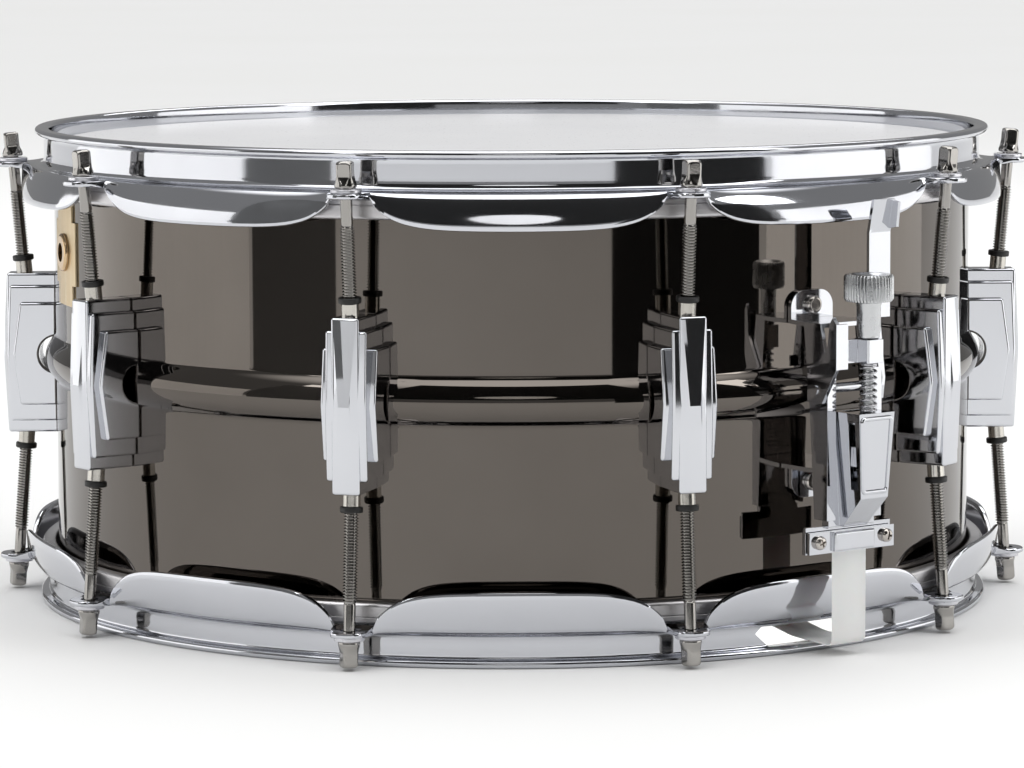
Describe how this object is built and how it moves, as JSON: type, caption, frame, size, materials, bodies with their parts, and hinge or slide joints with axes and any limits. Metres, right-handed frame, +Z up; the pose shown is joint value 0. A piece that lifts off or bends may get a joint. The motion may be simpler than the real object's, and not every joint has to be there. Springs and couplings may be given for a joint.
{
  "type": "snare drum",
  "caption": "Shallow metal snare drum with flanged, lobed hoops, double-ended lugs, tension rods, throw-off strainer and snare wires.",
  "frame": {"origin": "centre of the bottom rim's resting face", "axes": "+Z up along the drum's axis, -Y the front, with the strainer 36 degrees from the front towards +X"},
  "size_m": [0.402, 0.383, 0.1825],
  "materials": {
    "black_nickel": "mirror-polished black nickel plating on brass",
    "hoop_chrome": "bright chrome plating",
    "lug_chrome": "bright chrome plating on a zinc casting",
    "strainer_chrome": "bright chrome plating",
    "knurled_chrome": "satin chrome, knurled",
    "nickel_rod": "nickel-plated steel",
    "zinc_washer": "bright zinc plating",
    "nickel_nut": "nickel-plated steel",
    "black_nylon": "black moulded nylon",
    "inner_steel": "zinc-plated steel",
    "screw_nickel": "nickel-plated steel",
    "badge_brass": "satin brass",
    "grommet_brass": "polished brass",
    "flesh_aluminium": "bright drawn aluminium",
    "batter_film": "smooth white film",
    "snare_film": "hazy thin film",
    "spring_wire": "oiled spring steel",
    "snare_wire": "bright coiled steel wire",
    "end_plate_steel": "stamped steel",
    "strap_plastic": "white plastic strap"
  },
  "bodies": {
    "shell": {"shell": "black_nickel", "badge": "badge_brass", "vent_grommet": "grommet_brass", "lug_01": "lug_chrome", "lug_02": "lug_chrome", "lug_03": "lug_chrome", "lug_04": "lug_chrome", "lug_05": "lug_chrome", "lug_06": "lug_chrome", "lug_07": "lug_chrome", "lug_08": "lug_chrome", "lug_09": "lug_chrome", "lug_10": "lug_chrome", "swivel_nuts": "nickel_nut", "nylon_rings": "black_nylon", "lug_springs": "inner_steel", "lug_screws": "inner_steel", "batter_film": "batter_film", "snare_film": "snare_film", "strainer_base": "strainer_chrome", "bracket_screws": "screw_nickel", "butt_plate": "strainer_chrome", "butt_clamp": "strainer_chrome"},
    "batter_hoop": {"batter_hoop": "hoop_chrome", "batter_flesh_hoop": "flesh_aluminium", "batter_washers": "zinc_washer"},
    "snare_hoop": {"snare_hoop": "hoop_chrome", "snare_flesh_hoop": "flesh_aluminium", "snare_washers": "zinc_washer"},
    "throw_lever": {"strainer_lever": "strainer_chrome"},
    "carriage": {"strainer_block": "strainer_chrome", "strainer_spring": "spring_wire", "strainer_strap": "strap_plastic"},
    "tension_screw": {"strainer_knob": "knurled_chrome"},
    "shoe": {"strainer_slider": "strainer_chrome", "strap_clamp": "strainer_chrome", "strap_clamp_screws": "screw_nickel"},
    "snares": {"snare_wires": "snare_wire", "snare_end_plates": "end_plate_steel", "butt_strap": "strap_plastic"},
    "batter_rod_01": {"batter_rod_01": "nickel_rod"},
    "batter_rod_02": {"batter_rod_02": "nickel_rod"},
    "batter_rod_03": {"batter_rod_03": "nickel_rod"},
    "batter_rod_04": {"batter_rod_04": "nickel_rod"},
    "batter_rod_05": {"batter_rod_05": "nickel_rod"},
    "batter_rod_06": {"batter_rod_06": "nickel_rod"},
    "batter_rod_07": {"batter_rod_07": "nickel_rod"},
    "batter_rod_08": {"batter_rod_08": "nickel_rod"},
    "batter_rod_09": {"batter_rod_09": "nickel_rod"},
    "batter_rod_10": {"batter_rod_10": "nickel_rod"},
    "snare_rod_01": {"snare_rod_01": "nickel_rod"},
    "snare_rod_02": {"snare_rod_02": "nickel_rod"},
    "snare_rod_03": {"snare_rod_03": "nickel_rod"},
    "snare_rod_04": {"snare_rod_04": "nickel_rod"},
    "snare_rod_05": {"snare_rod_05": "nickel_rod"},
    "snare_rod_06": {"snare_rod_06": "nickel_rod"},
    "snare_rod_07": {"snare_rod_07": "nickel_rod"},
    "snare_rod_08": {"snare_rod_08": "nickel_rod"},
    "snare_rod_09": {"snare_rod_09": "nickel_rod"},
    "snare_rod_10": {"snare_rod_10": "nickel_rod"}
  },
  "joints": [
    {"name": "batter_tune", "type": "slide", "parent": "shell", "child": "batter_hoop", "axis": [0, 0, 1], "range_m": [-0.0015, 0.0015]},
    {"name": "snare_side_tune", "type": "slide", "parent": "shell", "child": "snare_hoop", "axis": [0, 0, 1], "range_m": [-0.0015, 0.0015]},
    {"name": "batter_rod_turn_01", "type": "hinge", "parent": "batter_hoop", "child": "batter_rod_01", "pos_m": [0.06001, -0.18469, 0.1682], "axis": [0.0266, -0.0819, 0.9963], "range_deg": [-515, 515]},
    {"name": "batter_rod_turn_02", "type": "hinge", "parent": "batter_hoop", "child": "batter_rod_02", "pos_m": [0.15711, -0.11415, 0.1682], "axis": [0.0697, -0.0506, 0.9963], "range_deg": [-515, 515]},
    {"name": "batter_rod_turn_03", "type": "hinge", "parent": "batter_hoop", "child": "batter_rod_03", "pos_m": [0.1942, 0, 0.1682], "axis": [0.0861, 0, 0.9963], "range_deg": [-515, 515]},
    {"name": "batter_rod_turn_04", "type": "hinge", "parent": "batter_hoop", "child": "batter_rod_04", "pos_m": [0.15711, 0.11415, 0.1682], "axis": [0.0697, 0.0506, 0.9963], "range_deg": [-515, 515]},
    {"name": "batter_rod_turn_05", "type": "hinge", "parent": "batter_hoop", "child": "batter_rod_05", "pos_m": [0.06001, 0.18469, 0.1682], "axis": [0.0266, 0.0819, 0.9963], "range_deg": [-515, 515]},
    {"name": "batter_rod_turn_06", "type": "hinge", "parent": "batter_hoop", "child": "batter_rod_06", "pos_m": [-0.06001, 0.18469, 0.1682], "axis": [-0.0266, 0.0819, 0.9963], "range_deg": [-515, 515]},
    {"name": "batter_rod_turn_07", "type": "hinge", "parent": "batter_hoop", "child": "batter_rod_07", "pos_m": [-0.15711, 0.11415, 0.1682], "axis": [-0.0697, 0.0506, 0.9963], "range_deg": [-515, 515]},
    {"name": "batter_rod_turn_08", "type": "hinge", "parent": "batter_hoop", "child": "batter_rod_08", "pos_m": [-0.1942, 0, 0.1682], "axis": [-0.0861, 0, 0.9963], "range_deg": [-515, 515]},
    {"name": "batter_rod_turn_09", "type": "hinge", "parent": "batter_hoop", "child": "batter_rod_09", "pos_m": [-0.15711, -0.11415, 0.1682], "axis": [-0.0697, -0.0506, 0.9963], "range_deg": [-515, 515]},
    {"name": "batter_rod_turn_10", "type": "hinge", "parent": "batter_hoop", "child": "batter_rod_10", "pos_m": [-0.06001, -0.18469, 0.1682], "axis": [-0.0266, -0.0819, 0.9963], "range_deg": [-515, 515]},
    {"name": "snare_rod_turn_01", "type": "hinge", "parent": "snare_hoop", "child": "snare_rod_01", "pos_m": [0.06001, -0.18469, 0.0123], "axis": [0.0234, -0.072, -0.9971], "range_deg": [-515, 515]},
    {"name": "snare_rod_turn_02", "type": "hinge", "parent": "snare_hoop", "child": "snare_rod_02", "pos_m": [0.15711, -0.11415, 0.0123], "axis": [0.0613, -0.0445, -0.9971], "range_deg": [-515, 515]},
    {"name": "snare_rod_turn_03", "type": "hinge", "parent": "snare_hoop", "child": "snare_rod_03", "pos_m": [0.1942, 0, 0.0123], "axis": [0.0757, 0, -0.9971], "range_deg": [-515, 515]},
    {"name": "snare_rod_turn_04", "type": "hinge", "parent": "snare_hoop", "child": "snare_rod_04", "pos_m": [0.15711, 0.11415, 0.0123], "axis": [0.0613, 0.0445, -0.9971], "range_deg": [-515, 515]},
    {"name": "snare_rod_turn_05", "type": "hinge", "parent": "snare_hoop", "child": "snare_rod_05", "pos_m": [0.06001, 0.18469, 0.0123], "axis": [0.0234, 0.072, -0.9971], "range_deg": [-515, 515]},
    {"name": "snare_rod_turn_06", "type": "hinge", "parent": "snare_hoop", "child": "snare_rod_06", "pos_m": [-0.06001, 0.18469, 0.0123], "axis": [-0.0234, 0.072, -0.9971], "range_deg": [-515, 515]},
    {"name": "snare_rod_turn_07", "type": "hinge", "parent": "snare_hoop", "child": "snare_rod_07", "pos_m": [-0.15711, 0.11415, 0.0123], "axis": [-0.0613, 0.0445, -0.9971], "range_deg": [-515, 515]},
    {"name": "snare_rod_turn_08", "type": "hinge", "parent": "snare_hoop", "child": "snare_rod_08", "pos_m": [-0.1942, 0, 0.0123], "axis": [-0.0757, 0, -0.9971], "range_deg": [-515, 515]},
    {"name": "snare_rod_turn_09", "type": "hinge", "parent": "snare_hoop", "child": "snare_rod_09", "pos_m": [-0.15711, -0.11415, 0.0123], "axis": [-0.0613, -0.0445, -0.9971], "range_deg": [-515, 515]},
    {"name": "snare_rod_turn_10", "type": "hinge", "parent": "snare_hoop", "child": "snare_rod_10", "pos_m": [-0.06001, -0.18469, 0.0123], "axis": [-0.0234, -0.072, -0.9971], "range_deg": [-515, 515]},
    {"name": "throw_off", "type": "hinge", "parent": "shell", "child": "throw_lever", "pos_m": [0.11638, -0.16018, 0.0967], "axis": [0.809, 0.5878, 0], "range_deg": [0, 70]},
    {"name": "throw_lift", "type": "slide", "parent": "shell", "child": "carriage", "axis": [0, 0, 1], "range_m": [-0.009, 0], "deforming": ["strainer_strap"]},
    {"name": "snare_drop", "type": "slide", "parent": "shell", "child": "snares", "axis": [0, 0, 1], "range_m": [-0.0015, 0], "deforming": ["butt_strap"]},
    {"name": "tension_knob", "type": "hinge", "parent": "carriage", "child": "tension_screw", "pos_m": [0.12355, -0.17006, 0.1336], "axis": [0, 0, 1], "range_deg": [-720, 1440]},
    {"name": "tension_slide", "type": "slide", "parent": "carriage", "child": "shoe", "axis": [0, 0, 1], "range_m": [-0.004, 0.002], "deforming": ["strainer_spring"]}
  ],
  "couplings": [
    {"joint": "batter_rod_turn_01", "follows": "batter_tune", "rad_per_m": 5938.7},
    {"joint": "batter_rod_turn_02", "follows": "batter_tune", "rad_per_m": 5938.7},
    {"joint": "batter_rod_turn_03", "follows": "batter_tune", "rad_per_m": 5938.7},
    {"joint": "batter_rod_turn_04", "follows": "batter_tune", "rad_per_m": 5938.7},
    {"joint": "batter_rod_turn_05", "follows": "batter_tune", "rad_per_m": 5938.7},
    {"joint": "batter_rod_turn_06", "follows": "batter_tune", "rad_per_m": 5938.7},
    {"joint": "batter_rod_turn_07", "follows": "batter_tune", "rad_per_m": 5938.7},
    {"joint": "batter_rod_turn_08", "follows": "batter_tune", "rad_per_m": 5938.7},
    {"joint": "batter_rod_turn_09", "follows": "batter_tune", "rad_per_m": 5938.7},
    {"joint": "batter_rod_turn_10", "follows": "batter_tune", "rad_per_m": 5938.7},
    {"joint": "snare_rod_turn_01", "follows": "snare_side_tune", "rad_per_m": -5938.7},
    {"joint": "snare_rod_turn_02", "follows": "snare_side_tune", "rad_per_m": -5938.7},
    {"joint": "snare_rod_turn_03", "follows": "snare_side_tune", "rad_per_m": -5938.7},
    {"joint": "snare_rod_turn_04", "follows": "snare_side_tune", "rad_per_m": -5938.7},
    {"joint": "snare_rod_turn_05", "follows": "snare_side_tune", "rad_per_m": -5938.7},
    {"joint": "snare_rod_turn_06", "follows": "snare_side_tune", "rad_per_m": -5938.7},
    {"joint": "snare_rod_turn_07", "follows": "snare_side_tune", "rad_per_m": -5938.7},
    {"joint": "snare_rod_turn_08", "follows": "snare_side_tune", "rad_per_m": -5938.7},
    {"joint": "snare_rod_turn_09", "follows": "snare_side_tune", "rad_per_m": -5938.7},
    {"joint": "snare_rod_turn_10", "follows": "snare_side_tune", "rad_per_m": -5938.7},
    {"joint": "throw_off", "follows": "throw_lift", "rad_per_m": -135.75},
    {"joint": "snare_drop", "follows": "throw_lift", "ratio": 0.1666},
    {"joint": "tension_knob", "follows": "tension_slide", "rad_per_m": -6283.2}
  ]
}
